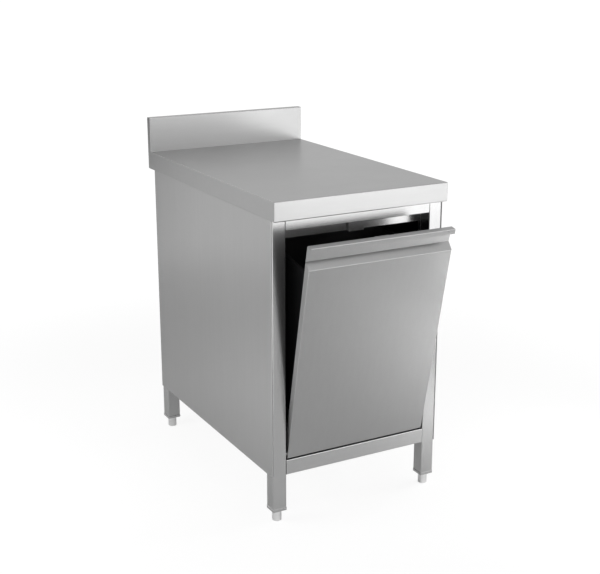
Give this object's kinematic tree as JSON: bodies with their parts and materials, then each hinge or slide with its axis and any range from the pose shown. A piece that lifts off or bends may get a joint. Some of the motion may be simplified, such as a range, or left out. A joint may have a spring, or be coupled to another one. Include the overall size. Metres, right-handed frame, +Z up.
{
  "type": "waste bin cabinet",
  "caption": "Free-standing stainless steel cabinet on adjustable legs, with a worktop and upstand, and a tall front door that tips forward with the waste bin behind it.",
  "frame": {"origin": "at floor level, in the middle of the rectangle that the object covers with its door as it stands in the picture", "axes": "+Z up, -Y out of the front where the door is, +X to the right as seen from the front"},
  "size_m": [0.5, 0.8998, 0.95],
  "materials": {
    "satin_steel": "fine vertical brushing, satin",
    "bright_steel": "turned, bright",
    "rivet_aluminium": "bright",
    "magnet": "dark, matte",
    "black_plastic": "moulded, satin",
    "nylon": "moulded, matte",
    "board": "raw board",
    "core": "card honeycomb"
  },
  "bodies": {
    "cabinet": {"worktop_skin": "satin_steel", "worktop_board": "board", "worktop_stiffeners": "satin_steel", "leg_front_left": "satin_steel", "leg_front_right": "satin_steel", "leg_rear_left": "satin_steel", "leg_rear_right": "satin_steel", "leg_caps": "satin_steel", "top_rail_front": "satin_steel", "top_rail_rear": "satin_steel", "top_rail_left": "satin_steel", "top_rail_right": "satin_steel", "bottom_rail_front": "satin_steel", "bottom_rail_rear": "satin_steel", "bottom_rail_left": "satin_steel", "bottom_rail_right": "satin_steel", "side_panel_left": "satin_steel", "side_panel_right": "satin_steel", "back_panel": "satin_steel", "back_rivets": "rivet_aluminium", "floor_panel": "satin_steel", "jamb_left": "satin_steel", "jamb_right": "satin_steel", "header_strip": "satin_steel", "catch_housing": "satin_steel", "catch_magnet": "magnet", "pivot_pins": "bright_steel", "stop_pins": "bright_steel"},
    "hopper": {"door_outer_skin": "satin_steel", "door_inner_skin": "satin_steel", "door_core": "core", "pivot_bushes": "nylon", "stay_plate_left": "satin_steel", "stay_plate_right": "satin_steel", "bin_tray": "satin_steel", "bin_hook": "satin_steel", "strike_bracket": "satin_steel", "hopper_rivets": "rivet_aluminium"},
    "waste_bin": {"bin": "black_plastic"},
    "front_left_foot": {"foot_front_left": "bright_steel"},
    "front_right_foot": {"foot_front_right": "bright_steel"},
    "rear_left_foot": {"foot_rear_left": "bright_steel"},
    "rear_right_foot": {"foot_rear_right": "bright_steel"}
  },
  "joints": [
    {"name": "door_tilt", "type": "hinge", "parent": "cabinet", "child": "hopper", "pos_m": [0, -0.32062, 0.1845], "axis": [1, 0, 0], "range_deg": [-11.7, 23.3]},
    {"name": "bin_lift", "type": "slide", "parent": "hopper", "child": "waste_bin", "axis": [0, -0.2028, 0.9792], "range_m": [0, 0.04]},
    {"name": "front_left_foot_screw", "type": "slide", "parent": "cabinet", "child": "front_left_foot", "axis": [0, 0, -1], "range_m": [0, 0.03]},
    {"name": "front_right_foot_screw", "type": "slide", "parent": "cabinet", "child": "front_right_foot", "axis": [0, 0, -1], "range_m": [0, 0.03]},
    {"name": "rear_left_foot_screw", "type": "slide", "parent": "cabinet", "child": "rear_left_foot", "axis": [0, 0, -1], "range_m": [0, 0.03]},
    {"name": "rear_right_foot_screw", "type": "slide", "parent": "cabinet", "child": "rear_right_foot", "axis": [0, 0, -1], "range_m": [0, 0.03]}
  ]
}
